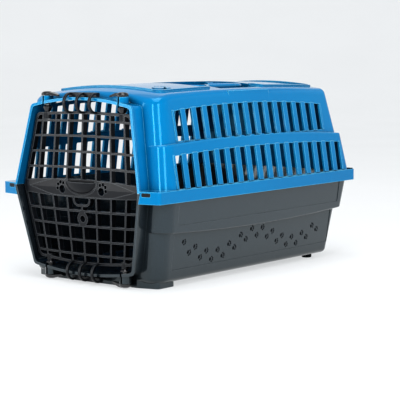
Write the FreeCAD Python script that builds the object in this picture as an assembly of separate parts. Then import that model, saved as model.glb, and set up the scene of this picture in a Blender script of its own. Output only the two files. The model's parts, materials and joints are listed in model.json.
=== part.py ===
# Two-shell pet transport carrier with a grille door, as separate pieces.
# Millimetres, +Z up, the door faces -Y. The origin is on the ground, in the middle of the length and width.
import FreeCAD, Part
import math
import os
from FreeCAD import Vector

# ---------------------------------------------------------------- driving dimensions
LENGTH = 490.0          # front of the door collar to the rear edge of the flange
FLANGE_HALF = 159.0     # half the width over the flange
ROOF_TOP = 291.5        # highest point of the roof skin
SPLIT_Z = 142.0         # where the two shells meet
WALL = 2.6              # moulded wall thickness
FLOOR_Z = 8.0           # underside of the tray, above the feet
REAR_LEDGE = 8.0        # flange behind the rear wall, at the split
CORNER_R = 25.0         # upright corners of both shells at the front
REAR_CORNER_R = 12.0
FRONT = -LENGTH / 2
BACK = LENGTH / 2
FAR = 400.0             # longer than anything, for cutting tools
TOUCH = 1e-4            # two points closer than this are the same point
PROUD = 0.5             # how far a piece that is to be joined reaches into its neighbour

# Draft of each storey: half-width at SPLIT_Z or at its own foot, and how fast it narrows with height
UPPER_LOW_HALF = 155.4  # lower storey of the top shell, at the split
UPPER_LOW_DRAFT = 0.155
UPPER_HIGH_HALF = 151.4  # upper storey of the top shell, carried down to the split
UPPER_HIGH_DRAFT = 0.18
BASE_HIGH_HALF = 154.2  # upper storey of the base, at the split
BASE_HIGH_DRAFT = 0.14
BASE_LOW_HALF = 146.6   # lower storey of the base, carried up to the split
BASE_LOW_DRAFT = 0.14
NOSE_SETBACK = 22.0     # front wall behind the collar's front edge, at the split
TRAY_SETBACK = NOSE_SETBACK + 0.6    # the base's lower storey steps in a little at the front too
NOSE_DRAFT_UP = 0.122
NOSE_DRAFT_DOWN = 0.082

# Door collar and door
COLLAR_MID_HALF = 126.0
COLLAR_TOP_HALF, COLLAR_TOP_Z, COLLAR_TOP_ARCH = 101.0, 262.0, 19.5
COLLAR_LOW_HALF, COLLAR_LOW_Z, COLLAR_LOW_ARCH = 101.0, 23.0, 16.0
COLLAR_WALL = 2.6
COLLAR_BOW = 0.108      # how far the collar's edge falls back for each mm above or below its middle
BEAD = 1.0              # bead round the collar's front edge
DOOR_MID_HALF = 119.0
DOOR_TOP_HALF, DOOR_TOP_Z = 96.0, 250.5
DOOR_LOW_HALF, DOOR_LOW_Z = 97.5, 34.5
DOOR_SETBACK = 12.5     # door face behind the collar's middle
DOOR_BOW = 0.062
DOOR_THICK = 8.6
BAR = 3.0
RAIL = 3.6
BOW_Z = 141.0           # height of the bow's foremost line
COLUMN_PITCH_MID = 30.3
COLUMN_PITCH_TOP, COLUMN_PITCH_LOW = 27.3, 26.0
UPPER_ROWS = (237.5, 215.5, 192.5, 169.5)
LOWER_ROWS = (109.9, 88.3, 66.6, 45.6)
ROW_SAG = 2.2
BAND_TOP_END, BAND_TOP_MID = 149.0, 154.5
BAND_LOW_END, BAND_LOW_MID = 131.5, 127.4
BAND_PAW, BAND_PAW_TILT = 2.6, 35.0
PIN_X = 76.5            # corner pins, and so the door's hinge line
PIN_Y = FRONT + 23.0
PIN_R = 4.0
PIN_FLAT = 2.8          # thickness of the stem between its flats
SLOT_WIDE = 3.4         # slot that lets the stem out when its flats line up with it
BOSS_R, BOSS_TOP, BOSS_FOOT = 9.0, 275.4, 8.0
SPIGOT_R = 3.0
RUN_GAP = 0.06          # radial clearance of a turning pin
CLEAR = 0.4             # gap between pieces that move past each other
RUN_CLEAR = 0.3         # gap between the top shell's lip and the base's collar

DOOR_POSTS = ((241.0, 251.4), (29.8, 38.4))
DOOR_SOCKETS = ((242.0, 255.0), (28.0, 37.0))
LOOP_HALF, LOOP_Z = 17.5, 114.5
RING_Z, RING_R, RING_HOLE_R = 96.5, 10.5, 5.0
SPRING_PITCH, SPRING_WIDE, SPRING_THICK, SPRING_REACH = 25.5, 4.6, 3.2, 14.2
SPRING_END_Y = FRONT + 19.2
CATCH_HALF, CATCH_HIGH, CATCH_DEEP = 27.8, 6.9, 8.0

# Base
BASE_SILL_R = 9.0
PLINTH_FOOT = 0.6       # the plinth under the front of the tray stops this far above the ground
PLINTH_FRONT, PLINTH_CORNER, PLINTH_BACK = FRONT + 34.0, FRONT + 43.0, FRONT + 80.0
PLINTH_NOSE_HALF, PLINTH_HALF = 88.0, 122.0
PANEL_DEPTH = 0.9
SIDE_PANELS = (
    (BASE_HIGH_HALF, BASE_HIGH_DRAFT, (62, SPLIT_Z),
     [(FRONT + 58, 92, 3), (BACK - 34, 93, 3), (BACK - 34, 136, 3), (FRONT + 58, 136, 3)]),
    (BASE_LOW_HALF, BASE_LOW_DRAFT, (FLOOR_Z + 10, FLOOR_Z + 90),
     [(FRONT + 62, 26, 3), (BACK - 40, 26, 3), (BACK - 40, 80, 3), (FRONT + 62, 80, 3)]),
)

# Ventilation slots: (count, pitch, first centre behind the front, slot width)
HIGH_SLOTS = (15, 24.4, 76.8, 14.2)
LOW_SLOTS = (17, 24.5, 59.6, 14.0)
HIGH_SLOT_FOOT, LOW_SLOT_FOOT = 212.0, SPLIT_Z + 3.4
SLAT_PROUD = 1.1        # how far the slats between the slots stand out from the wall
SLAT_RISE = 1.5         # how far a slat reaches above the slots beside it
END_SLAT = 4.0          # width of the thin slat at each end of a row

# Roof, its recess and the carry handle
CROWN_R = 760.0         # crown across the roof
ARCH_R = 4450.0         # long arch of the roof, highest at ARCH_Y
ARCH_Y = FRONT + 240.0
ROOF_EDGE_R = 12.0
NOSE_Y, NOSE_R = FRONT + 85.0, 150.0    # ahead of this line the roof also curves down to the collar
ROOF_GRID = 6
RIB_HALF, RIB_FRONT, RIB_BACK = 105.0, 71.0, 450.0
RIB_WIDE, RIB_HIGH = 3.0, 2.8
RIB_STEP, RIB_STEP_HALF = 14.0, 56.0
EMBLEM_HIGH = 3.0
RECESS_Z = 279.0
GRIP_X, GRIP_HALF, HANDLE_BEND = 72.0, 32.0, 16.0
HANDLE_MID_Y = FRONT + 249.0
HANDLE_HALF = 56.0
HANDLE_R = 4.6
EAR_NEAR, EAR_FAR, EAR_R = 5.5, 9.5, 5.0    # the ears' two sides, outwards from each end of the handle
HINGE_PIN_R = 2.0
HANDLE_AXIS_Z = RECESS_Z + 5.2
NOTCH_Z = 283.0
NOTCH_HALF = 49.0

REAR_LOCK = (151.5, BACK - 5.6)          # centre of a rear lock, on the ledge behind the shell
REAR_HEAD, REAR_SHANK = (6.0, 2.2), (3.4, 1.5)
FACE_TURN = 10.8                         # the flange's front faces slant back, degrees from +X
FACE_START, FACE_SETBACK = 125.0, 0.5    # where a slanted face leaves the collar
FLANGE_R = 5.0
LIP_DEEP = 15.0                          # how far the top shell's lip hangs below the split
LOCK_FROM_START, LOCK_BELOW = 12.0, 1.95    # centre of a front lock along its face, and below the split
FRONT_LOCK_HALF = (7.0, 2.4)
FOOT_R, FOOT_X, FOOT_FRONT_Y, FOOT_REAR_Y = 8.0, 104.0, FRONT + 66.0, FRONT + 430.0


# ---------------------------------------------------------------- shape helpers
def plan(z):
    """Map outline coordinates to a horizontal plane."""
    return lambda p: Vector(p.x, p.y, z)


def face_on(y):
    """Map outline coordinates (across, up) to a plane facing the door."""
    return lambda p: Vector(p.x, y, p.y)


def side_on(x):
    """Map outline coordinates (along, up) to a plane facing the side."""
    return lambda p: Vector(x, p.x, p.y)


def outline(corners, place):
    """Closed wire through (u, v, radius) corners, each rounded by its radius."""
    joins = []
    for index, (u, v, radius) in enumerate(corners):
        here = Vector(u, v, 0)
        before = Vector(corners[index - 1][0], corners[index - 1][1], 0)
        after_corner = corners[(index + 1) % len(corners)]
        after = Vector(after_corner[0], after_corner[1], 0)
        if radius == 0:
            joins.append((here, None, here))
            continue
        to_before = (before - here).normalize()
        to_after = (after - here).normalize()
        half_turn = (math.pi - to_before.getAngle(to_after)) / 2
        reach = radius * math.tan(half_turn)
        inward = (to_before + to_after).normalize()
        apex = here + inward * (radius / math.cos(half_turn) - radius)
        joins.append((here + to_before * reach, apex, here + to_after * reach))
    edges = []
    for index, (start, apex, end) in enumerate(joins):
        if apex is not None:
            edges.append(Part.Arc(place(start), place(apex), place(end)).toShape())
        next_start = joins[(index + 1) % len(joins)][0]
        if end.distanceToPoint(next_start) > TOUCH:
            edges.append(Part.LineSegment(place(end), place(next_start)).toShape())
    return Part.Wire(edges)


def prism(wire, direction):
    return Part.Face(wire).extrude(direction)


def block(x0, x1, y0, y1, z0, z1):
    return Part.makeBox(x1 - x0, y1 - y0, z1 - z0, Vector(x0, y0, z0))


def post(x, y, z0, z1, radius):
    return Part.makeCylinder(radius, z1 - z0, Vector(x, y, z0))


def rod(start, direction, length, radius):
    return Part.makeCylinder(radius, length, start, direction)


def mirrored(shape):
    return shape.mirror(Vector(0, 0, 0), Vector(1, 0, 0))


def fused(shapes):
    """One clean body from shapes that touch or overlap."""
    first, rest = shapes[0], shapes[1:]
    return first.fuse(rest).removeSplitter() if rest else first


def frustum(low, z_low, high, z_high):
    """Flat-faced solid between two level rectangles given as (half_width, front, back)."""
    wedge = Part.makeWedge(-low[0], z_low, -low[2], -high[2], -high[0],
                           low[0], z_high, -low[1], -high[1], high[0])
    wedge.rotate(Vector(0, 0, 0), Vector(1, 0, 0), 90)
    return wedge


def storey(half_at_split, draft, z_low, z_high, inset=0.0, setback=NOSE_SETBACK):
    """Tapered rounded box that narrows away from the split line, at both sides and both ends."""
    above = z_high > SPLIT_Z + 2
    ends = []
    for z in (z_low, z_high):
        rise = z - SPLIT_Z if above else SPLIT_Z - z
        half = half_at_split - draft * rise - inset
        front = FRONT + setback + (NOSE_DRAFT_UP if above else NOSE_DRAFT_DOWN) * rise + inset
        ends.append((half, front, BACK - REAR_LEDGE - UPPER_LOW_HALF + half))
    box = frustum(ends[0], z_low, ends[1], z_high)
    for radius, at_front in ((CORNER_R - inset, True), (REAR_CORNER_R - inset, False)):
        upright_edges = [e for e in box.Edges if len(e.Vertexes) == 2
                         and abs(e.Vertexes[0].Z - e.Vertexes[1].Z) > 1 and (e.BoundBox.YMin < 0) == at_front]
        box = box.makeFillet(radius, upright_edges)
    return box


def arch_slab(front_z, middle_z, back_z, flat_z, lift=0.0):
    """Everything between a long arch, seen from the side, and a flat level."""
    start = Vector(-FAR, FRONT - 5, front_z + lift)
    middle = Vector(-FAR, FRONT + 200, middle_z + lift)
    end = Vector(-FAR, BACK + 5, back_z + lift)
    level_end = Vector(-FAR, BACK + 5, flat_z)
    level_start = Vector(-FAR, FRONT - 5, flat_z)
    wire = Part.Wire([
        Part.Arc(start, middle, end).toShape(),
        Part.LineSegment(end, level_end).toShape(),
        Part.LineSegment(level_end, level_start).toShape(),
        Part.LineSegment(level_start, start).toShape(),
    ])
    return prism(wire, Vector(2 * FAR, 0, 0))


def roof_height(x, y):
    """Outer skin of the roof: crowned across, arched along, and falling away over the nose."""
    along = y - ARCH_Y
    nose = max(0.0, NOSE_Y - y)
    return ROOF_TOP - along ** 2 / (2 * ARCH_R) - x ** 2 / (2 * CROWN_R) - nose ** 2 / (2 * NOSE_R)


def under_roof(lift=0.0):
    """Everything below the roof's skin, raised or lowered by lift."""
    grid = []
    for row in range(-ROOF_GRID, ROOF_GRID + 1):
        x = row * 170.0 / ROOF_GRID
        points = [Vector(x, y, roof_height(x, y) + lift) for y in range(-265, 271, 22)]
        grid.append(points)
    surface = Part.BSplineSurface()
    surface.interpolate(grid)
    return surface.toShape().extrude(Vector(0, 0, -200))


def collar_outline(grow, y):
    """Barrel-shaped outline of the door collar, seen from the front."""
    corners = [
        (COLLAR_MID_HALF + grow, BOW_Z, 8),
        (COLLAR_TOP_HALF + grow, COLLAR_TOP_Z + grow, 7),
        (0, COLLAR_TOP_Z + COLLAR_TOP_ARCH + grow, 460),
        (-COLLAR_TOP_HALF - grow, COLLAR_TOP_Z + grow, 7),
        (-COLLAR_MID_HALF - grow, BOW_Z, 8),
        (-COLLAR_LOW_HALF - grow, COLLAR_LOW_Z - grow, 7),
        (0, COLLAR_LOW_Z - COLLAR_LOW_ARCH - grow, 560),
        (COLLAR_LOW_HALF + grow, COLLAR_LOW_Z - grow, 7),
    ]
    return outline(corners, face_on(y))


def bowed_slab(setback, bow, thick):
    """A sheet bent along BOW_Z, seen from the side as a shallow V pointing forwards."""
    tall = 170.0
    corners = [
        (FRONT + setback + bow * tall, BOW_Z + tall, 0),
        (FRONT + setback, BOW_Z, 0),
        (FRONT + setback + bow * tall, BOW_Z - tall, 0),
        (FRONT + setback + bow * tall + thick, BOW_Z - tall, 0),
        (FRONT + setback + thick, BOW_Z, 0),
        (FRONT + setback + bow * tall + thick, BOW_Z + tall, 0),
    ]
    return prism(outline(corners, side_on(-FAR)), Vector(2 * FAR, 0, 0))


def paw(centre_u, centre_v, scale, tilt, place, direction):
    """Paw print as five rounded prisms, one pad and four toes, turned anticlockwise by tilt degrees."""
    marks = [(0, -1.4, 2.3), (-2.75, 1.0, 0.95), (-1.15, 2.65, 1.0), (1.15, 2.65, 1.0), (2.75, 1.0, 0.95)]
    across, up = math.cos(math.radians(tilt)), math.sin(math.radians(tilt))
    prisms = []
    for u, v, radius in marks:
        turned_u = (u * across - v * up) * scale
        turned_v = (u * up + v * across) * scale
        centre = place(Vector(centre_u + turned_u, centre_v + turned_v, 0))
        prisms.append(Part.makeCylinder(radius * scale, direction.Length, centre, direction))
    return prisms


# ---------------------------------------------------------------- shells
def door_collar(z_low, z_high):
    """Tube round the doorway with a bead on its front edge, cut to the storey between two levels."""
    tube = prism(collar_outline(0, FRONT), Vector(0, 60, 0)).common(bowed_slab(0, COLLAR_BOW, 60))
    bead = prism(collar_outline(BEAD, FRONT), Vector(0, 60, 0)).common(bowed_slab(0, COLLAR_BOW, 3.0))
    keep = block(-FAR, FAR, FRONT - 5, FRONT + 55, z_low, z_high)
    return [tube.common(keep), bead.common(keep)]


def doorway():
    return prism(collar_outline(-COLLAR_WALL, FRONT - 5), Vector(0, 70, 0))


def upright_panel(y0, y1, z_low, top_of, rise, radius):
    """Prism through both side walls between two stations, its top following an arch."""
    corners = [
        (y0, z_low, 0.8),
        (y1, z_low, 0.8),
        (y1, top_of(y1) + rise, radius),
        (y0, top_of(y0) + rise, radius),
    ]
    return prism(outline(corners, side_on(-FAR)), Vector(2 * FAR, 0, 0))


def slot_row(spec, foot_z, top_of):
    """Row of upright slots through both side walls."""
    count, pitch, first, wide = spec
    centres = [FRONT + first + pitch * index for index in range(count)]
    return [upright_panel(y - wide / 2, y + wide / 2, foot_z, top_of, 0, 1.2) for y in centres]


def slat_row(spec, skin, foot_z, top_of):
    """Raised slats between the slots of a row, and a thin one at each end, cut from a skin over the wall."""
    count, pitch, first, wide = spec
    start = FRONT + first - wide / 2
    spans = [(start - END_SLAT, start + PROUD)]
    for index in range(count - 1):
        slot_end = start + pitch * index + wide
        spans.append((slot_end - PROUD, slot_end + pitch - wide + PROUD))
    last = start + pitch * (count - 1) + wide
    spans.append((last - PROUD, last + END_SLAT))
    return [skin.common(upright_panel(y0, y1, foot_z, top_of, SLAT_RISE, 2.0)) for y0, y1 in spans]


def wall_skin(half, draft, z_low, z_high):
    """Hollow layer that straddles a storey's outer face."""
    return storey(half, draft, z_low, z_high, -SLAT_PROUD).cut(storey(half, draft, z_low, z_high, PROUD))


def high_slot_top(y):
    return 261.0 - 6.0 * ((y - FRONT - 235) / 160) ** 2


def low_slot_top(y):
    return 196.5 - 4.6 * ((y - FRONT - 240) / 190) ** 2


def flange_outline(grow, z):
    """Plan of the flange: a slanted front face on each side of the collar, then straight sides and rear."""
    half, back = FLANGE_HALF + grow, BACK + grow
    slant = math.radians(FACE_TURN)
    nose = FRONT + FACE_SETBACK - grow / math.cos(slant)
    corner = nose + (half - FACE_START) * math.tan(slant)
    radius = FLANGE_R + grow
    return outline([
        (FACE_START, nose, 2), (half, corner, radius), (half, back, radius),
        (-half, back, radius), (-half, corner, radius), (-FACE_START, nose, 2),
    ], plan(z))


def oblong(long, high, radius, place):
    corners = [(-long, -high, radius), (long, -high, radius), (long, high, radius), (-long, high, radius)]
    return outline(corners, place)


def rear_lock_prism(side, size, z_low, z_high):
    """Oblong prism for part of a rear lock, or for its hole through both flanges."""
    bar = prism(oblong(size[0], size[1], 1.4, plan(z_low)), Vector(0, 0, z_high - z_low))
    bar.translate(Vector(side * REAR_LOCK[0], REAR_LOCK[1], 0))
    return bar


def front_lock_prism(side, grow, behind, deep):
    """Oblong prism square to the flange's slanted face: behind is its setback from that face."""
    long, high = FRONT_LOCK_HALF[0] + grow, FRONT_LOCK_HALF[1] + grow
    bar = prism(oblong(long, high, 2.0, face_on(behind)), Vector(0, deep, 0))
    bar.translate(Vector(LOCK_FROM_START, 0, 0))
    bar.rotate(Vector(0, 0, 0), Vector(0, 0, 1), FACE_TURN)
    bar.translate(Vector(FACE_START, FRONT + FACE_SETBACK, SPLIT_Z - LOCK_BELOW))
    return mirrored(bar) if side < 0 else bar


def corner_bosses(z_low, z_high):
    """Round bosses on the collar that carry the corner pins."""
    return [post(side * PIN_X, PIN_Y, z_low, z_high, BOSS_R) for side in (-1, 1)]


def pin_ways(z_low, z_high):
    """Round holes for the pins, each with a narrow slot open to the front."""
    ways = []
    for side in (-1, 1):
        x = side * PIN_X
        ways.append(post(x, PIN_Y, z_low, z_high, PIN_R + RUN_GAP))
        ways.append(block(x - SLOT_WIDE / 2, x + SLOT_WIDE / 2, FRONT - 5, PIN_Y, z_low, z_high))
    return ways


def handle_recess(grow):
    """Hollow in the roof that the folded handle lies in, open to the right-hand side of the shell."""
    y0 = HANDLE_MID_Y - HANDLE_HALF - 12 - grow
    y1 = HANDLE_MID_Y + HANDLE_HALF + 12 + grow
    corners = [(-14 - grow, y0, 8), (88 + grow, y0, 8), (88 + grow, y1, 8), (-14 - grow, y1, 8)]
    return prism(outline(corners, plan(RECESS_Z - grow)), Vector(0, 0, 40))


def hand_notch(z, x0, x1):
    """Scoop between the handle's recess and the edge of the roof, for the fingers."""
    y0 = HANDLE_MID_Y - NOTCH_HALF
    y1 = HANDLE_MID_Y + NOTCH_HALF
    corners = [(x0, y0, 4), (x1, y0, 0), (x1, y1, 0), (x0, y1, 4)]
    return prism(outline(corners, plan(z)), Vector(0, 0, 40))


def roof_rib():
    """Raised rib round the roof panel, turning inwards at both ends of the hand notch on the right."""
    def path(grow):
        half, front, back = RIB_HALF + grow, FRONT + RIB_FRONT - grow, FRONT + RIB_BACK + grow
        y0 = HANDLE_MID_Y - RIB_STEP_HALF + grow
        y1 = HANDLE_MID_Y + RIB_STEP_HALF - grow
        stepped = RIB_HALF - RIB_STEP + grow
        return [(-half, front, 14), (half, front, 14), (half, y0 - 8, 6), (stepped, y0, 6), (stepped, y1, 6),
                (half, y1 + 8, 6), (half, back, 14), (-half, back, 14)]
    outer = prism(outline(path(0), plan(SPLIT_Z)), Vector(0, 0, 200))
    inner = prism(outline(path(-RIB_WIDE), plan(SPLIT_Z)), Vector(0, 0, 200))
    return on_roof(outer.cut(inner), RIB_HIGH, ROOF_EDGE_R / 2)


def on_roof(upright_shape, height, depth=1.0):
    """The stretch of an upright shape from a depth inside the roof's skin to a height above it."""
    return upright_shape.common(under_roof(height)).cut(under_roof(-depth))


def handle_ears():
    """Bearing ears that rise from the recess floor outside each end of the handle."""
    ears = []
    thick = EAR_FAR - EAR_NEAR
    for y in (HANDLE_MID_Y - HANDLE_HALF - EAR_FAR, HANDLE_MID_Y + HANDLE_HALF + EAR_NEAR):
        ears.append(block(-EAR_R, EAR_R, y, y + thick, RECESS_Z - 1, HANDLE_AXIS_Z))
        ears.append(rod(Vector(0, y, HANDLE_AXIS_Z), Vector(0, 1, 0), thick, EAR_R))
    return ears


def top_shell():
    low_outer = storey(UPPER_LOW_HALF, UPPER_LOW_DRAFT, SPLIT_Z, 225).common(arch_slab(204, 213.5, 202, 100))
    low_edges = [e for e in low_outer.Edges if e.BoundBox.ZMin > 190]
    low_outer = low_outer.makeFillet(2.5, low_edges)
    high_outer = storey(UPPER_HIGH_HALF, UPPER_HIGH_DRAFT, SPLIT_Z, 330).common(under_roof())
    high_edges = [e for e in high_outer.Edges if e.BoundBox.ZMin > 240]
    rounded = high_outer.makeFillet(ROOF_EDGE_R, high_edges)
    sharp = high_outer.common(hand_notch(240, 84, 140)).common(block(0, FAR, -FAR, FAR, 240, NOTCH_Z))
    outer = fused([low_outer, rounded, sharp])
    low_inner = storey(UPPER_LOW_HALF, UPPER_LOW_DRAFT, SPLIT_Z - 1, 225, WALL)
    low_inner = low_inner.common(arch_slab(204, 213.5, 202, 100, -WALL))
    high_inner = storey(UPPER_HIGH_HALF, UPPER_HIGH_DRAFT, SPLIT_Z - 1, 330, WALL).common(under_roof(-WALL))
    inner_edges = [e for e in high_inner.Edges if e.BoundBox.ZMin > 240]
    high_inner = high_inner.makeFillet(ROOF_EDGE_R - WALL, inner_edges)
    high_inner = high_inner.cut(handle_recess(WALL)).cut(hand_notch(NOTCH_Z - WALL, 80, 200))
    high_skin = wall_skin(UPPER_HIGH_HALF, UPPER_HIGH_DRAFT, SPLIT_Z, 290)
    low_skin = wall_skin(UPPER_LOW_HALF, UPPER_LOW_DRAFT, SPLIT_Z, 225)
    slats = slat_row(HIGH_SLOTS, high_skin, HIGH_SLOT_FOOT, high_slot_top)
    slats += slat_row(LOW_SLOTS, low_skin, LOW_SLOT_FOOT, low_slot_top)
    shell = fused([outer, roof_rib()] + slats + door_collar(SPLIT_Z, 290) + corner_bosses(255, BOSS_TOP))
    plate = prism(flange_outline(0, SPLIT_Z), Vector(0, 0, WALL))
    lip = prism(flange_outline(0, SPLIT_Z - LIP_DEEP), Vector(0, 0, LIP_DEEP + 1))
    lip = lip.cut(prism(flange_outline(-WALL, SPLIT_Z - LIP_DEEP - 1), Vector(0, 0, LIP_DEEP + 5)))
    lip = lip.cut(prism(collar_outline(BEAD + RUN_CLEAR, FRONT - 5), Vector(0, 70, 0)))
    shell = shell.fuse([plate, lip])
    shell = shell.cut([low_inner, high_inner, doorway()])
    shell = shell.cut([handle_recess(0), hand_notch(NOTCH_Z, 80, 200)] + pin_ways(240, 300))
    shell = shell.fuse(handle_ears())
    emblem = paw(84, FRONT + 96, 4.0, 0, plan(270), Vector(0, 0, 30))
    shell = shell.fuse([on_roof(mark, EMBLEM_HIGH) for mark in emblem])
    bore_start = Vector(0, HANDLE_MID_Y - HANDLE_HALF - EAR_FAR, HANDLE_AXIS_Z)
    bearing = rod(bore_start, Vector(0, 1, 0), 2 * (HANDLE_HALF + EAR_FAR), HINGE_PIN_R + RUN_GAP)
    cutters = slot_row(HIGH_SLOTS, HIGH_SLOT_FOOT, high_slot_top)
    cutters += slot_row(LOW_SLOTS, LOW_SLOT_FOOT, low_slot_top)
    shank_hole = [half + CLEAR for half in REAR_SHANK]
    for side in (-1, 1):
        cutters.append(rear_lock_prism(side, shank_hole, SPLIT_Z - 1, SPLIT_Z + WALL + 1))
        cutters.append(front_lock_prism(side, CLEAR, -2.0, 2.0 + WALL + CLEAR))
    return shell.cut(cutters + [bearing]).removeSplitter()


def base_shell():
    low_outer = storey(BASE_LOW_HALF, BASE_LOW_DRAFT, FLOOR_Z, FLOOR_Z + 90, 0.0, TRAY_SETBACK)
    sill = [e for e in low_outer.Edges if e.BoundBox.ZMax < FLOOR_Z + 1]
    low_outer = low_outer.makeFillet(BASE_SILL_R, sill)
    high_outer = storey(BASE_HIGH_HALF, BASE_HIGH_DRAFT, 60, SPLIT_Z).common(arch_slab(85.5, 76, 84.5, 200))
    ledge = [e for e in high_outer.Edges if e.BoundBox.ZMax < 95]
    high_outer = high_outer.makeFillet(2.5, ledge)
    low_inner = storey(BASE_LOW_HALF, BASE_LOW_DRAFT, FLOOR_Z + WALL, FLOOR_Z + 90, WALL, TRAY_SETBACK)
    inner_sill = [e for e in low_inner.Edges if e.BoundBox.ZMax < FLOOR_Z + WALL + 1]
    low_inner = low_inner.makeFillet(BASE_SILL_R - WALL, inner_sill)
    high_inner = storey(BASE_HIGH_HALF, BASE_HIGH_DRAFT, 60, SPLIT_Z + 1, WALL)
    high_inner = high_inner.common(arch_slab(85.5, 76, 84.5, 200, WALL))
    plate = prism(flange_outline(-WALL - CLEAR, SPLIT_Z - WALL), Vector(0, 0, WALL))
    bosses = corner_bosses(BOSS_FOOT, 30)
    skirt = plinth(0, FLOOR_Z + BASE_SILL_R).cut(plinth(WALL, FLOOR_Z))
    shell = low_outer.fuse([high_outer, plate, skirt] + door_collar(0, SPLIT_Z) + bosses)
    shell = shell.cut([side_panel(side, spec) for side in (-1, 1) for spec in SIDE_PANELS])
    shell = shell.cut([low_inner, high_inner, doorway()])
    sockets = [post(x, y, 0, FLOOR_Z + WALL + 4, 3.0) for x, y in foot_places()]
    shank_hole = [half + CLEAR for half in REAR_SHANK]
    lock_holes = [rear_lock_prism(side, shank_hole, SPLIT_Z - WALL - 1, SPLIT_Z + 1) for side in (-1, 1)]
    shell = shell.cut(pin_ways(0, 34) + lock_holes + sockets)
    return shell.removeSplitter()


def plinth(inset, z_top):
    """Low skirt under the front of the tray: narrow in front, between the pins, and wider behind."""
    nose, half = PLINTH_NOSE_HALF - inset, PLINTH_HALF - inset
    front, corner, back = PLINTH_FRONT + inset, PLINTH_CORNER + inset, PLINTH_BACK - inset
    radius = 6 - inset
    z_low = PLINTH_FOOT - inset
    corners = [(-nose, front, radius), (nose, front, radius), (half, corner, radius), (half, back, radius),
               (-half, back, radius), (-half, corner, radius)]
    return prism(outline(corners, plan(z_low)), Vector(0, 0, z_top - z_low))


def side_panel(side, spec):
    """Shallow recess in a side wall: the skin between the wall and an inset copy of it, inside a window."""
    half, draft, levels, corners = spec
    skin = storey(half, draft, *levels).cut(storey(half, draft, *levels, PANEL_DEPTH))
    window = prism(outline(corners, side_on(0)), Vector(side * FAR, 0, 0))
    return skin.common(window)


def foot_places():
    return [(side * FOOT_X, y) for side in (-1, 1) for y in (FOOT_FRONT_Y, FOOT_REAR_Y)]


def foot(x, y):
    """Push-in foot: a rounded button with a stem through the tray's floor."""
    button = post(x, y, 0, FLOOR_Z, FOOT_R)
    button = button.makeFillet(1.5, [e for e in button.Edges if e.BoundBox.ZMax < 1])
    return button.fuse(post(x, y, FLOOR_Z, FLOOR_Z + WALL, 3.0)).removeSplitter()


# ---------------------------------------------------------------- door
def door_outline(inset, y):
    corners = [
        (DOOR_MID_HALF - inset, BOW_Z, 4),
        (DOOR_TOP_HALF - inset, DOOR_TOP_Z - inset, 9 - inset / 2),
        (0, DOOR_TOP_Z + 3.5 - inset, 900),
        (-DOOR_TOP_HALF + inset, DOOR_TOP_Z - inset, 9 - inset / 2),
        (-DOOR_MID_HALF + inset, BOW_Z, 4),
        (-DOOR_LOW_HALF + inset, DOOR_LOW_Z + inset, 9 - inset / 2),
        (0, DOOR_LOW_Z - 8.0 + inset, 600),
        (DOOR_LOW_HALF - inset, DOOR_LOW_Z + inset, 9 - inset / 2),
    ]
    return outline(corners, face_on(y))


def column_x(index, z):
    """Upright bars lean in towards the top and bottom, like the door's own sides."""
    far_z, far_pitch = (DOOR_TOP_Z, COLUMN_PITCH_TOP) if z > BOW_Z else (DOOR_LOW_Z, COLUMN_PITCH_LOW)
    return index * (COLUMN_PITCH_MID + (far_pitch - COLUMN_PITCH_MID) * (z - BOW_Z) / (far_z - BOW_Z))


def upright(index, z_low, z_high):
    x0, x1 = column_x(index, z_low), column_x(index, z_high)
    half = BAR / 2
    corners = [(x0 - half, z_low, 0), (x0 + half, z_low, 0), (x1 + half, z_high, 0), (x1 - half, z_high, 0)]
    return prism(outline(corners, face_on(FRONT)), Vector(0, 60, 0))


def arc_edge(z_end, z_mid, half=DOOR_MID_HALF + 2):
    y = FRONT
    return Part.Arc(Vector(-half, y, z_end), Vector(0, y, z_mid), Vector(half, y, z_end)).toShape()


def arc_strip(low_end, low_mid, high_end, high_mid):
    """Strip across the door between two shallow arcs."""
    half = DOOR_MID_HALF + 2
    low, high = arc_edge(low_end, low_mid), arc_edge(high_end, high_mid)
    right = Part.LineSegment(Vector(half, FRONT, low_end), Vector(half, FRONT, high_end)).toShape()
    left = Part.LineSegment(Vector(-half, FRONT, low_end), Vector(-half, FRONT, high_end)).toShape()
    wire = Part.Wire(Part.sortEdges([low, right, high, left])[0])
    return prism(wire, Vector(0, 60, 0))


def ellipse_solid(x, y, z, rx, ry, rz):
    ball = Part.makeSphere(1.0)
    grow = FreeCAD.Matrix()
    grow.scale(rx, ry, rz)
    ball = ball.transformGeometry(grow)
    ball.translate(Vector(x, y, z))
    return ball


def ring_and_loop():
    """Loop under the band, and the small ring that hangs from it on a stem."""
    y = FRONT
    loops = []
    for half, foot_z, radius in ((LOOP_HALF, LOOP_Z, 10), (LOOP_HALF - BAR, LOOP_Z + BAR, 7.5)):
        corners = [(-half, 131, 0), (-half, foot_z, radius), (half, foot_z, radius), (half, 131, 0)]
        loops.append(prism(outline(corners, face_on(y)), Vector(0, 60, 0)))
    loop = loops[0].cut(loops[1])
    ring = Part.makeCylinder(RING_R, 60, Vector(0, y, RING_Z), Vector(0, 1, 0))
    stem = block(-1.6, 1.6, y, y + 60, RING_Z + 8, 116)
    return [loop, ring, stem]


def finger_cup():
    """Half bowl on the front of the band, open at the top, to pull the door by."""
    y = FRONT + DOOR_SETBACK + 1.0
    outer = ellipse_solid(0, y, 151, 30, 10, 17.5)
    inner = ellipse_solid(0, y - 0.6, 151.6, 27.6, 7.6, 15.0)
    below = block(-40, 40, y - 20, y + 1.5, 120, 151)
    return outer.common(below), inner.common(block(-40, 40, y - 20, y + 1.0, 120, 160))


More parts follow.
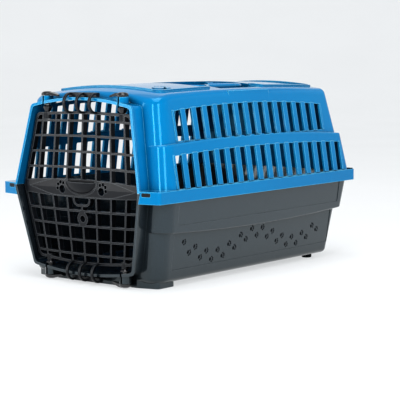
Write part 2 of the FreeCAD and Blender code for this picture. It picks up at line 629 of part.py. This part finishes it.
def door_grille():
    sheet = bowed_slab(DOOR_SETBACK, DOOR_BOW, DOOR_THICK)
    frame_outer = prism(door_outline(0, FRONT), Vector(0, 60, 0))
    opening = prism(door_outline(RAIL, FRONT), Vector(0, 60, 0))
    bars = []
    for index in (-3, -2, -1, 1, 2, 3):
        bars.append(upright(index, 20, BOW_Z))
        bars.append(upright(index, BOW_Z, 262))
    bars.append(upright(0, 20, LOWER_ROWS[1]))
    bars.append(upright(0, BOW_Z, 262))
    for z in UPPER_ROWS:
        bars.append(arc_strip(z - BAR / 2, z - BAR / 2 + ROW_SAG, z + BAR / 2, z + BAR / 2 + ROW_SAG))
    for z in LOWER_ROWS:
        bars.append(arc_strip(z - BAR / 2, z - BAR / 2 - ROW_SAG, z + BAR / 2, z + BAR / 2 - ROW_SAG))
    bars.append(arc_strip(BAND_LOW_END, BAND_LOW_MID, BAND_TOP_END, BAND_TOP_MID))
    grid = bars[0].fuse(bars[1:] + ring_and_loop()).common(opening)
    grille = frame_outer.cut(opening).fuse(grid).common(sheet)
    cup, cup_inside = finger_cup()
    posts = [post(side * PIN_X, PIN_Y, z0, z1, 5.6) for side in (-1, 1) for z0, z1 in DOOR_POSTS]
    grille = grille.fuse([cup] + posts)
    lens = prism(outline([(-108, 141, 0), (-60, 153, 90), (60, 153, 90), (108, 141, 0), (60, 129.5, 90),
                          (-60, 129.5, 90)], face_on(FRONT)), Vector(0, 60, 0))
    around_cup = ellipse_solid(0, FRONT + DOOR_SETBACK + 1, 151, 33, 14, 20)
    lens = lens.common(bowed_slab(DOOR_SETBACK - 1, DOOR_BOW, 2.0)).cut(around_cup)
    cuts = [lens, cup_inside, Part.makeCylinder(RING_HOLE_R, 60, Vector(0, FRONT, RING_Z), Vector(0, 1, 0))]
    for side in (-1, 1):
        cuts += paw(side * 42, 141.5, BAND_PAW, side * -BAND_PAW_TILT, face_on(FRONT + 5), Vector(0, 30, 0))
        for z0, z1 in DOOR_SOCKETS:
            cuts.append(post(side * PIN_X, PIN_Y, z0, z1, SPIGOT_R + RUN_GAP))
    return grille.cut(cuts).removeSplitter()


def corner_pin(side, top):
    """Quarter-turn pin: spigot in the door, cone, flat-sided stem in the collar, cap with a finger arm."""
    profile = [(0, 242.5), (SPIGOT_R, 242.5), (SPIGOT_R, 252.0), (4.6, 252.2), (7.5, 258.0), (7.5, 259.5),
               (PIN_R, 261), (PIN_R, 275.9), (9.0, 275.9), (9.0, 278.6), (7.6, 280.6), (5.0, 281.8),
               (0, 282.2)]
    side_view = [(0, 276.2, 0), (-11, 276.2, 4), (-24, 274.2, 0), (-24, 277.0, 1.2), (-9, 281.0, 4),
                 (0, 281.0, 0)]
    flats = (261.3, 275.6)
    if not top:
        profile = [(0, 36.5), (SPIGOT_R, 36.5), (SPIGOT_R, 29.4), (4.6, 29.2), (7.5, 26.4), (7.5, 25.2),
                   (PIN_R, 24.2), (PIN_R, 7.4), (9.0, 7.4), (9.0, 4.8), (7.6, 2.8), (5.0, 1.6), (0, 1.2)]
        side_view = [(0, 2.2, 0), (-9, 2.2, 4), (-24, 6.2, 1.2), (-24, 9.0, 0), (-11, 7.0, 4), (0, 7.0, 0)]
        flats = (7.7, 24.0)
    points = [Vector(r, 0, z) for r, z in profile]
    turned = Part.Face(Part.makePolygon(points + [points[0]])).revolve(Vector(0, 0, 0), Vector(0, 0, 1), 360)
    reach = PIN_R + 1
    sides = ((-reach, -PIN_FLAT / 2), (PIN_FLAT / 2, reach))
    spare = [block(-reach, reach, y0, y1, *flats) for y0, y1 in sides]
    arm_corners = [(0, -7.0, 2), (-24, -2.4, 1.9), (-24, 2.4, 1.9), (0, 7.0, 2)]
    arm_plan = outline(arm_corners, plan(side_view[0][1] - 10))
    arm = prism(arm_plan, Vector(0, 0, 30)).common(prism(outline(side_view, face_on(-10)), Vector(0, 20, 0)))
    pin = turned.cut(spare).fuse(arm)
    if side < 0:
        pin = mirrored(pin)
    pin.translate(Vector(side * PIN_X, PIN_Y, 0))
    return pin.removeSplitter()


def oval_prism(x, y, z, along, up, wide):
    """Prism with an elliptical outline seen from the side; up is the longer half-axis."""
    curve = Part.Ellipse(Vector(0, 0, 0), up, along).toShape()
    curve.Placement = FreeCAD.Placement(Vector(x - wide / 2, y, z), FreeCAD.Rotation(
        Vector(0, 0, 1), Vector(0, 1, 0), Vector(-1, 0, 0), "XYZ"))
    return prism(Part.Wire([curve]), Vector(wide, 0, 0))


def c_spring(index, top):
    """Flat C from the door's rail, round the front of the collar's lip, to the catch bar."""
    x = index * SPRING_PITCH
    centre_z, half_high = (265.6, 15.4) if top else (18.2, 14.7)
    outer, inner = [oval_prism(x, SPRING_END_Y, centre_z, SPRING_REACH - inset, half_high - inset, SPRING_WIDE)
                    for inset in (0, SPRING_THICK)]
    front_half = block(x - SPRING_WIDE, x + SPRING_WIDE, FRONT, SPRING_END_Y, centre_z - 20, centre_z + 20)
    return outer.cut(inner).common(front_half)


def catch_bar(top):
    """Finger bar that the springs' free ends carry."""
    y0, y1 = SPRING_END_Y, SPRING_END_Y + CATCH_DEEP
    z0 = 274.1 if top else 3.5
    z1 = z0 + CATCH_HIGH
    corners = [(y0, z0, 1), (y1, z0, 2.5), (y1, z1, 2.5), (y0, z1, 1)]
    return prism(outline(corners, side_on(-CATCH_HALF)), Vector(2 * CATCH_HALF, 0, 0))


# ---------------------------------------------------------------- roof handle and locks
def handle_path():
    """Centre line of the handle: out from the hinge, round two bends and back."""
    z = HANDLE_AXIS_Z
    y0, y1 = HANDLE_MID_Y - HANDLE_HALF, HANDLE_MID_Y + HANDLE_HALF
    inner = GRIP_X - HANDLE_BEND
    on_bend = inner + HANDLE_BEND * math.sqrt(0.5)
    sag = HANDLE_BEND * (1 - math.sqrt(0.5))
    leg0, leg1 = Vector(inner, y0, z), Vector(inner, y1, z)
    grip0, grip1 = Vector(GRIP_X, y0 + HANDLE_BEND, z), Vector(GRIP_X, y1 - HANDLE_BEND, z)
    return Part.Wire([
        Part.LineSegment(Vector(0, y0, z), leg0).toShape(),
        Part.Arc(leg0, Vector(on_bend, y0 + sag, z), grip0).toShape(),
        Part.LineSegment(grip0, grip1).toShape(),
        Part.Arc(grip1, Vector(on_bend, y1 - sag, z), leg1).toShape(),
        Part.LineSegment(leg1, Vector(0, y1, z)).toShape(),
    ])


def carry_handle():
    """Bail handle lying to the right of its hinge line, with an eye at each end and a thicker grip."""
    along = Vector(0, 1, 0)
    start = Vector(0, HANDLE_MID_Y - HANDLE_HALF, HANDLE_AXIS_Z)
    section = Part.Wire(Part.makeCircle(HANDLE_R - 0.6, start, Vector(1, 0, 0)))
    bail = handle_path().makePipeShell([section], True, False)
    solids = [rod(Vector(GRIP_X, HANDLE_MID_Y - GRIP_HALF, HANDLE_AXIS_Z), along, 2 * GRIP_HALF, HANDLE_R)]
    bores = []
    for end in (-1, 1):
        y = HANDLE_MID_Y + end * HANDLE_HALF
        solids.append(rod(Vector(0, y - 4, HANDLE_AXIS_Z), along, 8, HANDLE_R))
        bores.append(rod(Vector(0, y - 10, HANDLE_AXIS_Z), along, 20, HINGE_PIN_R + RUN_GAP))
    return bail.fuse(solids).cut(bores)


def handle_pin(end):
    """Pin through an ear and the handle's eye."""
    y = HANDLE_MID_Y + end * (HANDLE_HALF + 1)
    return rod(Vector(0, y - 7.5, HANDLE_AXIS_Z), Vector(0, 1, 0), 15, HINGE_PIN_R)


def rear_lock(side):
    """Snap lock: oblong head on the ledge and a shank through both flanges."""
    head = rear_lock_prism(side, REAR_HEAD, SPLIT_Z + WALL, SPLIT_Z + WALL + 1.6)
    shank = rear_lock_prism(side, REAR_SHANK, SPLIT_Z - WALL - 4, SPLIT_Z + WALL)
    return head.fuse(shank)


def front_lock(side):
    """Snap tongue that shows in the window of the flange's slanted face."""
    return front_lock_prism(side, 0.0, 0.6, WALL + CLEAR - 0.65)


def make_pieces():
    pieces = {
        "top_shell": top_shell(),
        "base_shell": base_shell(),
        "door_grille": door_grille(),
        "carry_handle": carry_handle(),
        "handle_pin_front": handle_pin(-1),
        "handle_pin_rear": handle_pin(1),
    }
    for level, top in (("top", True), ("bottom", False)):
        pieces[level + "_catch_bar"] = catch_bar(top)
        for index, hand in ((-1, "left"), (0, "middle"), (1, "right")):
            pieces[level + "_spring_" + hand] = c_spring(index, top)
        for side, hand in ((-1, "left"), (1, "right")):
            pieces["corner_pin_" + level + "_" + hand] = corner_pin(side, top)
    for side, hand in ((-1, "left"), (1, "right")):
        pieces["shell_lock_front_" + hand] = front_lock(side)
        pieces["shell_lock_rear_" + hand] = rear_lock(side)
        pieces["foot_front_" + hand] = foot(side * FOOT_X, FOOT_FRONT_Y)
        pieces["foot_rear_" + hand] = foot(side * FOOT_X, FOOT_REAR_Y)
    return pieces


os.makedirs("parts", exist_ok=True)
for name, shape in make_pieces().items():
    print(name, shape.isValid(), len(shape.Solids), round(shape.Volume))
    shape.exportStep("parts/" + name + ".step")
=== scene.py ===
"""Studio scene of the pet transport carrier: its finishes, the paw trail, the C springs and the set."""
import json
import math

import bmesh
import bpy
from mathutils import Matrix, Vector


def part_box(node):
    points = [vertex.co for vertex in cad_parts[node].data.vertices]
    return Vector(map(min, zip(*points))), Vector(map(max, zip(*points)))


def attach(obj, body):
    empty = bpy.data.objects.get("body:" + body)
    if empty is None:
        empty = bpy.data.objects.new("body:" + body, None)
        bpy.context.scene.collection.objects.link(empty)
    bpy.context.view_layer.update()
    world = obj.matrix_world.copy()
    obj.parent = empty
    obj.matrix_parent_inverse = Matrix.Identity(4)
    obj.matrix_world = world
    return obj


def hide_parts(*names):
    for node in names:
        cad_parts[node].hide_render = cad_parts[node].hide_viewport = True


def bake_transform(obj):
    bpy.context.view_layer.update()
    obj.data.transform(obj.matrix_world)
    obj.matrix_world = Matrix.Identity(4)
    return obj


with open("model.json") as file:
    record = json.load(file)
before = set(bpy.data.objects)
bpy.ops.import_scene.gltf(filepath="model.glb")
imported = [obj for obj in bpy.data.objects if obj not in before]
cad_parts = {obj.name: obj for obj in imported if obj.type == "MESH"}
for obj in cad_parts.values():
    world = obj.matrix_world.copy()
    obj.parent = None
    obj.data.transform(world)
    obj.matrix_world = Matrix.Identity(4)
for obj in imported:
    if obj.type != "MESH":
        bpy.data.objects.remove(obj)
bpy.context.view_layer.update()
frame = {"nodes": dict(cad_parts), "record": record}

MM = 0.001

# ---------------------------------------------------------------- camera and set
CAMERA_AT = Vector((1.4368, -1.6701, 0.3364))
CAMERA_AZIMUTH, CAMERA_ELEVATION, CAMERA_ROLL = 40.08, 6.02, -0.57   # degrees
CAMERA_LENS = 125.57                                               # mm, on a 36 mm sensor
FLOOR_RADIUS, SWEEP_RADIUS, SWEEP_TOP = 5.0, 2.5, 5.0     # round floor that sweeps up into a wall
PAPER_DARK, PAPER_LIGHT = (0.40, 0.407, 0.412), (0.415, 0.422, 0.427)
PAPER_GLOW = 1.18
SKY_COLOUR, SKY_STRENGTH = (0.95, 0.975, 1.0), 0.36
SOFTBOXES = (                                      # name, place, aim, (width, height), power in watts
    ("overhead", (0.3, -0.3, 1.9), (0, 0, 0.2), (0.9, 1.8), 19),
    ("key_right", (2.0, -1.3, 0.9), (0, 0, 0.15), (0.5, 1.2), 15),
    ("front_strip", (0.9, -2.4, 0.9), (0, 0, 0.15), (0.35, 1.2), 17),
    ("left_strip", (-1.5, -1.9, 0.6), (0, -0.2, 0.12), (0.5, 1.2), 8),
)

# ---------------------------------------------------------------- painted shade in the cabin and other closed-in places
SHADE_REACH = 0.2                                  # metres within which surroundings count as closed in
SHADE_DARK, SHADE_LIT = 0.25, 0.8                  # openness at which a skin is darkest, and fully lit

# ---------------------------------------------------------------- the paw trail on the tray's sides
TRAIL_PRINTS = 26
TRAIL_START, TRAIL_END = -160 * MM, 171 * MM
TRAIL_MIDDLE, TRAIL_SWING = 51 * MM, 12.5 * MM     # height of the trail's centre line and how far it waves
TRAIL_PERIOD, TRAIL_CREST = 196 * MM, 10 * MM
TRAIL_STRIDE = 6.2 * MM                            # left and right prints either side of the centre line
PRINT_SIZE = 1.55 * MM
PRINT_RISE = 0.45 * MM
PRINT_MARKS = ((0.0, -1.3, 2.0, 1.6), (-2.35, 0.9, 0.8, 1.05), (-0.85, 2.3, 0.85, 1.15),
               (0.85, 2.3, 0.85, 1.15), (2.35, 0.9, 0.8, 1.05))    # across, along, half-width, half-length


# The tray's recessed side panel, which leans in towards the bottom
PANEL_LEAN = 0.14                                  # inward per unit of height
PANEL_HALF, PANEL_TOP = (146.6 - 0.9) * MM, 142 * MM
PRINT_SINK = 0.1 * MM                              # depth of a print's root below the panel

# ---------------------------------------------------------------- the C springs
STRIP_THICK, STRIP_CORNER = 3.2 * MM, 0.9 * MM
STRIP_STEPS = 36


# ---------------------------------------------------------------- node helpers
class Nodes:
    """Short names for the nodes that the finishes are made of."""

    def __init__(self, name):
        self.material = bpy.data.materials.new(name)
        self.material.use_nodes = True
        self.tree = self.material.node_tree
        self.shader = self.tree.nodes["Principled BSDF"]
        self.place = self.tree.nodes.new("ShaderNodeTexCoord").outputs["Object"]

    def node(self, kind, **settings):
        made = self.tree.nodes.new(kind)
        for key, value in settings.items():
            setattr(made, key, value)
        return made

    def feed(self, socket, value):
        if hasattr(value, "is_output"):
            self.tree.links.new(value, socket)
        else:
            socket.default_value = value

    def noise(self, scale, detail=4.0, rough=0.5, stretch=(1, 1, 1)):
        mapping = self.node("ShaderNodeMapping")
        mapping.inputs["Scale"].default_value = stretch
        self.feed(mapping.inputs["Vector"], self.place)
        texture = self.node("ShaderNodeTexNoise")
        self.feed(texture.inputs["Vector"], mapping.outputs["Vector"])
        texture.inputs["Scale"].default_value = scale
        texture.inputs["Detail"].default_value = detail
        texture.inputs["Roughness"].default_value = rough
        return texture.outputs["Fac"]

    def ramp(self, value, low, high, to_low=0.0, to_high=1.0):
        ranged = self.node("ShaderNodeMapRange")
        ranged.inputs["From Min"].default_value = low
        ranged.inputs["From Max"].default_value = high
        ranged.inputs["To Min"].default_value = to_low
        ranged.inputs["To Max"].default_value = to_high
        self.feed(ranged.inputs["Value"], value)
        return ranged.outputs["Result"]

    def math(self, operation, a, b=0.0):
        made = self.node("ShaderNodeMath", operation=operation)
        self.feed(made.inputs[0], a)
        self.feed(made.inputs[1], b)
        return made.outputs["Value"]

    def mix(self, share, a, b):
        made = self.node("ShaderNodeMix", data_type="RGBA")
        self.feed(made.inputs["Factor"], share)
        self.feed(made.inputs["A"], a)
        self.feed(made.inputs["B"], b)
        return made.outputs["Result"]

    def edges(self, radius):
        """1 on sharp edges and 0 on flat skin: how far the rounded normal leaves the true one."""
        rounded = self.node("ShaderNodeBevel", samples=4)
        rounded.inputs["Radius"].default_value = radius
        dot = self.node("ShaderNodeVectorMath", operation="DOT_PRODUCT")
        self.feed(dot.inputs[0], rounded.outputs["Normal"])
        self.feed(dot.inputs[1], self.node("ShaderNodeNewGeometry").outputs["Normal"])
        return self.ramp(dot.outputs["Value"], 1.0, 0.85)

    def open_sky(self, reach):
        """How open the surroundings are, from 0 deep inside the piece to 1 on an outer face."""
        made = self.node("ShaderNodeAmbientOcclusion", samples=6)
        made.inputs["Distance"].default_value = reach
        return made.outputs["AO"]

    def bump(self, height, distance, strength=1.0, soften=None):
        made = self.node("ShaderNodeBump")
        made.inputs["Distance"].default_value = distance
        made.inputs["Strength"].default_value = strength
        self.feed(made.inputs["Height"], height)
        if soften:
            rounded = self.node("ShaderNodeBevel", samples=6)
            rounded.inputs["Radius"].default_value = soften
            self.feed(made.inputs["Normal"], rounded.outputs["Normal"])
        self.feed(self.shader.inputs["Normal"], made.outputs["Normal"])

    def finish(self, colour, roughness):
        self.feed(self.shader.inputs["Base Color"], colour)
        self.feed(self.shader.inputs["Roughness"], roughness)
        return self.material


def rgba(r, g, b):
    return (r, g, b, 1.0)


# ---------------------------------------------------------------- finishes
def moulded_plastic(name, colour, tint, wear_and_highlight, look):
    """Injection-moulded plastic: faint flow marks, moulded grain, scuffs, a painted highlight that lightens
    sharp edges, and painted shade that darkens closed-in places.
    """
    n = Nodes(name)
    flow = n.ramp(n.noise(7.0, 3.0, 0.55, (1, 0.35, 1)), 0.35, 0.65)
    scuffs = n.ramp(n.noise(60.0, 6.0, 0.7, (1, 5, 1)), 0.62, 0.78)
    skin = n.mix(flow, rgba(*colour), rgba(*tint))
    marked = n.mix(n.math("MULTIPLY", scuffs, 0.12), skin, rgba(*wear_and_highlight))
    # painted highlight: sharp edges lightened towards the light scuff colour, standing in for rim highlights
    painted_edge_highlight = n.mix(n.math("MULTIPLY", n.edges(look["edge_highlight_reach"]), look["painted_edge_highlight"]), marked, rgba(*wear_and_highlight))
    # painted shade: where ambient occlusion finds the surroundings closed in, the colour is darkened towards
    # this share of itself ('inside' in each look)
    painted_shade_colour = rgba(*[part * look["inside"] for part in colour])
    shaded = n.mix(n.ramp(n.open_sky(SHADE_REACH), SHADE_DARK, SHADE_LIT), painted_shade_colour, painted_edge_highlight)
    fine = n.noise(look["grain"], 2.0, 0.6)
    rough = n.math("ADD", n.ramp(fine, 0.3, 0.7, look["rough"] - 0.02, look["rough"] + 0.02),
                   n.math("MULTIPLY", scuffs, 0.08))
    waves = n.noise(22.0, 2.0, 0.4)
    relief = n.math("ADD", n.math("MULTIPLY", fine, 0.5), n.math("MULTIPLY", waves, 2.0))
    n.bump(relief, look["depth"], soften=look["edge"])
    n.shader.inputs["IOR"].default_value = 1.49
    n.shader.inputs["Specular IOR Level"].default_value = look["shine"]
    n.shader.inputs["Specular Tint"].default_value = rgba(*look.get("shine_tint", (1, 1, 1)))
    n.shader.inputs["Coat Weight"].default_value = look["coat"]
    n.shader.inputs["Coat Roughness"].default_value = look.get("coat_rough", 0.08)
    return n.finish(shaded, rough)


def brushed_steel(name):
    n = Nodes(name)
    lines = n.noise(900.0, 3.0, 0.6, (1, 0.04, 1))
    skin = n.mix(lines, rgba(0.42, 0.43, 0.44), rgba(0.68, 0.69, 0.70))
    n.bump(lines, 0.00003)
    n.shader.inputs["Metallic"].default_value = 1.0
    return n.finish(skin, n.ramp(lines, 0.3, 0.7, 0.22, 0.4))


def finishes():
    # In each look the first two entries set the painted edge highlight: how far it reaches from a sharp edge
    # and how much it lightens. The third colour given to each finish is both its scuff colour and its painted
    # edge highlight.
    shell = {"edge_highlight_reach": 0.0014, "painted_edge_highlight": 0.75, "edge": 0.0009, "grain": 1400.0, "depth": 0.00002, "rough": 0.12,
             "shine": 0.45, "shine_tint": (0.02, 0.7, 1.0), "coat": 0.16, "coat_rough": 0.04, "inside": 0.15}
    tray = {"edge_highlight_reach": 0.0012, "painted_edge_highlight": 0.5, "edge": 0.0009, "grain": 1900.0, "depth": 0.00004, "rough": 0.25,
            "shine": 0.5, "shine_tint": (0.7, 0.93, 1.0), "coat": 0.6, "coat_rough": 0.05, "inside": 0.15}
    door = {"edge_highlight_reach": 0.0015, "painted_edge_highlight": 0.7, "edge": 0.0006, "grain": 1900.0, "depth": 0.00004, "rough": 0.32,
            "shine": 0.25, "coat": 0.05, "inside": 0.4}
    pin = {"edge_highlight_reach": 0.0008, "painted_edge_highlight": 0.4, "edge": 0.0008, "grain": 1500.0, "depth": 0.00002, "rough": 0.18,
           "shine": 0.5, "coat": 0.6, "inside": 0.5}
    lock = {"edge_highlight_reach": 0.0005, "painted_edge_highlight": 0.4, "edge": 0.0004, "grain": 1500.0, "depth": 0.00003, "rough": 0.3,
            "shine": 0.3, "coat": 0.0, "inside": 0.5}
    matt = {"edge_highlight_reach": 0.0004, "painted_edge_highlight": 0.1, "edge": 0.0003, "grain": 1500.0, "depth": 0.00008, "rough": 0.65,
            "shine": 0.03, "coat": 0.0, "inside": 0.5}
    return {
        "blue_shell": moulded_plastic("blue_polypropylene", (0.0, 0.175, 0.42), (0.0, 0.195, 0.45),
                                      (0.2, 0.72, 1.0), shell),
        "grey_base": moulded_plastic("charcoal_polypropylene", (0.014, 0.021, 0.029), (0.019, 0.027, 0.036),
                                     (0.20, 0.23, 0.25), tray),
        "door_plastic": moulded_plastic("door_polypropylene", (0.006, 0.007, 0.010), (0.009, 0.011, 0.014),
                                        (0.19, 0.205, 0.22), door),
        "black_pin": moulded_plastic("black_nylon", (0.005, 0.005, 0.007), (0.008, 0.008, 0.010),
                                     (0.10, 0.10, 0.11), pin),
        "lock_black": moulded_plastic("lock_nylon", (0.010, 0.010, 0.012), (0.015, 0.015, 0.018),
                                      (0.09, 0.09, 0.1), lock),
        "foot_grey": moulded_plastic("foot_rubber", (0.014, 0.017, 0.020), (0.019, 0.022, 0.026),
                                     (0.1, 0.105, 0.11), matt),
        "steel_pin": brushed_steel("drawn_steel"),
    }


def dress(piece, finish):
    piece.data.materials.clear()
    piece.data.materials.append(finish)


def piece_from(name, mesh_maker, body, finish):
    """A new piece whose mesh is made in the row frame."""
    mesh = bpy.data.meshes.new(name)
    work = bmesh.new()
    mesh_maker(work)
    bmesh.ops.recalc_face_normals(work, faces=work.faces)
    work.to_mesh(mesh)
    work.free()
    mesh.shade_smooth()
    piece = bpy.data.objects.new(name, mesh)
    bpy.context.scene.collection.objects.link(piece)
    dress(piece, finish)
    if body:
        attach(piece, body)
    return piece


# ---------------------------------------------------------------- paw trail
def tray_wall(side):
    """(point on the recessed side panel, its outward normal, its upward direction)."""
    draft = math.atan(PANEL_LEAN)
    normal = Vector((side * math.cos(draft), 0, -math.sin(draft)))
    up = Vector((side * math.sin(draft), 0, math.cos(draft)))
    at_split = Vector((side * PANEL_HALF, 0, PANEL_TOP))
    return at_split, normal, up


def dome(work, centre, across, along, out, half_wide, half_long, rise):
    """Low pillow: an ellipse whose skin rises to the middle."""
    rings, spokes = 4, 14
    loops = []
    for ring in range(rings):
        lift = ring / (rings - 1)
        shrink = math.cos(lift * math.pi / 2 * 0.92)
        loop = []
        for spoke in range(spokes):
            turn = 2 * math.pi * spoke / spokes
            place = (centre + across * (half_wide * shrink * math.cos(turn))
                     + along * (half_long * shrink * math.sin(turn))
                     + out * (rise * math.sin(lift * math.pi / 2)))
            loop.append(work.verts.new(place))
        loops.append(loop)
    for low, high in zip(loops, loops[1:]):
        for spoke in range(spokes):
            after = (spoke + 1) % spokes
            work.faces.new((low[spoke], low[after], high[after], high[spoke]))
    work.faces.new(loops[-1])
    work.faces.new(list(reversed(loops[0])))


def paw_trail(side):
    def make(work):
        wall, normal, up = tray_wall(side)
        for index in range(TRAIL_PRINTS):
            y = TRAIL_START + (TRAIL_END - TRAIL_START) * index / (TRAIL_PRINTS - 1)
            phase = 2 * math.pi * (y - TRAIL_CREST) / TRAIL_PERIOD
            slope = -TRAIL_SWING * math.sin(phase) * 2 * math.pi / TRAIL_PERIOD
            stride = TRAIL_STRIDE if index % 2 == 0 else -TRAIL_STRIDE
            z = TRAIL_MIDDLE + TRAIL_SWING * math.cos(phase) + stride
            centre = wall + up * ((z - wall.z) / up.z) + Vector((0, y, 0))
            along = (Vector((0, 1, 0)) + up * slope).normalized()
            across = along.cross(normal)
            for u, v, half_wide, half_long in PRINT_MARKS:
                place = centre + across * (u * PRINT_SIZE) + along * (v * PRINT_SIZE) - normal * PRINT_SINK
                dome(work, place, across, along, normal, half_wide * PRINT_SIZE, half_long * PRINT_SIZE,
                     PRINT_RISE + PRINT_SINK)
    return make


# ---------------------------------------------------------------- C springs
def c_spring(low, high, front, back):
    """Bent strip: a half ellipse from one end to the other round the front, rounded in section."""
    def make(work):
        half_wide = (high.x - low.x) / 2
        centre = Vector(((low.x + high.x) / 2, back, (low.z + high.z) / 2))
        reach, rise = back - front, (high.z - low.z) / 2
        section = []
        for across, deep, start in ((1, 1, 0), (-1, 1, 90), (-1, -1, 180), (1, -1, 270)):
            for turn in range(0, 91, 30):
                angle = math.radians(start + turn)
                section.append((across * (half_wide - STRIP_CORNER) + STRIP_CORNER * math.cos(angle),
                                deep * (STRIP_THICK / 2 - STRIP_CORNER) + STRIP_CORNER * math.sin(angle)))
        loops = []
        for step in range(STRIP_STEPS + 1):
            angle = math.radians(-90 + 180 * step / STRIP_STEPS)
            middle = Vector((0, -(reach - STRIP_THICK / 2) * math.cos(angle),
                             (rise - STRIP_THICK / 2) * math.sin(angle)))
            out = Vector((0, -math.cos(angle) / reach, math.sin(angle) / rise)).normalized()
            ring = centre + middle
            loops.append([work.verts.new(ring + Vector((x, 0, 0)) + out * depth) for x, depth in section])
        for before, after in zip(loops, loops[1:]):
            for index in range(len(section)):
                follow = (index + 1) % len(section)
                work.faces.new((before[index], before[follow], after[follow], after[index]))
        work.faces.new(loops[0])
        work.faces.new(list(reversed(loops[-1])))
    return make


def springs(finish):
    for level, catch in (("top", "top_catch"), ("bottom", "bottom_catch")):
        for hand in ("left", "middle", "right"):
            node = f"{level}_spring_{hand}"
            low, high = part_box(node)
            strip = c_spring(low, high, low.y, high.y)
            spring = piece_from(f"{node}_strip", strip, None, finish)
            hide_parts(node)
            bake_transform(spring)


# ---------------------------------------------------------------- the set
def sweep(work):
    """Round floor whose edge curves up into a wall, so that no horizon shows from any side."""
    spokes, bends = 96, 16
    profile = [(FLOOR_RADIUS * share, 0.0) for share in (0.1, 0.25, 0.5, 0.75, 1.0)]
    for bend in range(1, bends + 1):
        angle = math.pi / 2 * bend / bends
        profile.append((FLOOR_RADIUS + SWEEP_RADIUS * math.sin(angle), SWEEP_RADIUS * (1 - math.cos(angle))))
    profile.append((FLOOR_RADIUS + SWEEP_RADIUS, SWEEP_TOP))
    loops = []
    for radius, height in profile:
        turns = [2 * math.pi * spoke / spokes for spoke in range(spokes)]
        loops.append([work.verts.new((radius * math.cos(turn), radius * math.sin(turn), height))
                      for turn in turns])
    work.faces.new(loops[0])
    for low, high in zip(loops, loops[1:]):
        for spoke in range(spokes):
            after = (spoke + 1) % spokes
            work.faces.new((low[spoke], high[spoke], high[after], low[after]))


def floor():
    n = Nodes("pale_paper")
    paper = n.mix(n.noise(3.0, 2.0), rgba(*PAPER_DARK), rgba(*PAPER_LIGHT))
    n.feed(n.shader.inputs["Emission Color"], paper)
    n.shader.inputs["Emission Strength"].default_value = PAPER_GLOW
    n.shader.inputs["Specular IOR Level"].default_value = 0.1
    mesh = bpy.data.meshes.new("studio_floor")
    work = bmesh.new()
    sweep(work)
    work.to_mesh(mesh)
    work.free()
    mesh.shade_smooth()
    piece = bpy.data.objects.new("studio_floor", mesh)
    bpy.context.scene.collection.objects.link(piece)
    dress(piece, n.finish(paper, 0.9))


def softbox(name, place, aim, size, power):
    light = bpy.data.lights.new(name, "AREA")
    light.shape = "RECTANGLE"
    light.size, light.size_y = size
    light.energy = power
    lamp = bpy.data.objects.new(name, light)
    bpy.context.scene.collection.objects.link(lamp)
    lamp.location = place
    lamp.rotation_euler = (Vector(aim) - Vector(place)).to_track_quat("-Z", "Y").to_euler()
    return lamp


def lighting():
    world = bpy.data.worlds.new("studio")
    bpy.context.scene.world = world
    world.use_nodes = True
    sky = world.node_tree.nodes["Background"]
    sky.inputs["Color"].default_value = rgba(*SKY_COLOUR)
    sky.inputs["Strength"].default_value = SKY_STRENGTH
    for name, place, aim, size, power in SOFTBOXES:
        softbox(name, place, aim, size, power)


def camera():
    azimuth, elevation = math.radians(CAMERA_AZIMUTH), math.radians(CAMERA_ELEVATION)
    roll = math.radians(CAMERA_ROLL)
    back = Vector((math.sin(azimuth) * math.cos(elevation), -math.cos(azimuth) * math.cos(elevation),
                   math.sin(elevation)))
    level = (-back).cross(Vector((0, 0, 1))).normalized()
    upright = level.cross(-back)
    right = level * math.cos(roll) + upright * math.sin(roll)
    up = upright * math.cos(roll) - level * math.sin(roll)
    data = bpy.data.cameras.new("camera")
    data.lens = CAMERA_LENS
    data.sensor_width = 36
    data.clip_end = 100
    shot = bpy.data.objects.new("camera", data)
    bpy.context.scene.collection.objects.link(shot)
    turn = Matrix((right, up, back)).transposed().to_4x4()
    shot.matrix_world = Matrix.Translation(CAMERA_AT) @ turn
    bpy.context.scene.camera = shot


# ---------------------------------------------------------------- make it
made = finishes()
slots = {part["node"]: part["material_slot"] for part in frame["record"]["subparts"]}
for node, shown in frame["nodes"].items():
    dress(shown, made[slots[node]])
for side, hand in ((-1, "left"), (1, "right")):
    piece_from(f"paw_trail_{hand}", paw_trail(side), "carrier", made["foot_grey"])
springs(made["door_plastic"])
floor()
lighting()
camera()
bpy.context.scene.view_settings.view_transform = "Standard"
bpy.context.scene.view_settings.look = "Medium High Contrast"
